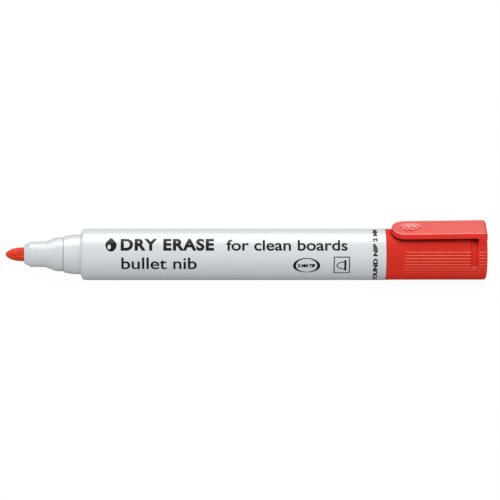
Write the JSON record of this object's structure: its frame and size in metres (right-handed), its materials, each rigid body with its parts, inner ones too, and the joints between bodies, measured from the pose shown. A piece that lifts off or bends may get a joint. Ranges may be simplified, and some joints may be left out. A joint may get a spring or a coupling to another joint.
{
  "type": "whiteboard marker",
  "caption": "Round whiteboard marker with a bullet nib, a stepped white barrel, and a ribbed red clip cap posted on its rear end.",
  "frame": {"origin": "centre of the posted cap's flat end face, on the marker's axis", "axes": "+X along the marker's axis, out of the cap's end, so the nib points towards -X; +Z towards the pocket clip"},
  "size_m": [0.1452, 0.0158, 0.0174],
  "materials": {
    "white_plastic": "pearly white moulded polypropylene, satin gloss",
    "red_plastic": "red moulded polypropylene, satin gloss",
    "ink_felt": "bonded fibre nib soaked in red ink, matte",
    "reservoir_fibre": "ink-soaked polyester fibre, matte",
    "wrap_film": "thin clear-to-milky film",
    "liner_plastic": "natural moulded polyethylene"
  },
  "bodies": {
    "marker_body": {"barrel": "white_plastic", "nib_holder": "white_plastic", "nib": "ink_felt", "ink_reservoir": "reservoir_fibre", "reservoir_film": "wrap_film", "end_plug": "red_plastic"},
    "cap_carrier": {"cap_liner": "liner_plastic"},
    "cap": {"cap_shell": "red_plastic"},
    "clip": {"pocket_clip": "red_plastic"}
  },
  "joints": [
    {"name": "cap_pull", "type": "slide", "parent": "marker_body", "child": "cap_carrier", "axis": [1, 0, 0], "range_m": [0, 0.016]},
    {"name": "cap_twist", "type": "hinge", "parent": "cap_carrier", "child": "cap", "pos_m": [-0.0305, 0, 0], "axis": [1, 0, 0], "continuous": true},
    {"name": "clip_flex", "type": "hinge", "parent": "cap", "child": "clip", "pos_m": [-0.0028, 0, 0.00892], "axis": [0, 1, 0], "range_deg": [0, 6], "stiffness_Nm_per_rad": 2}
  ]
}
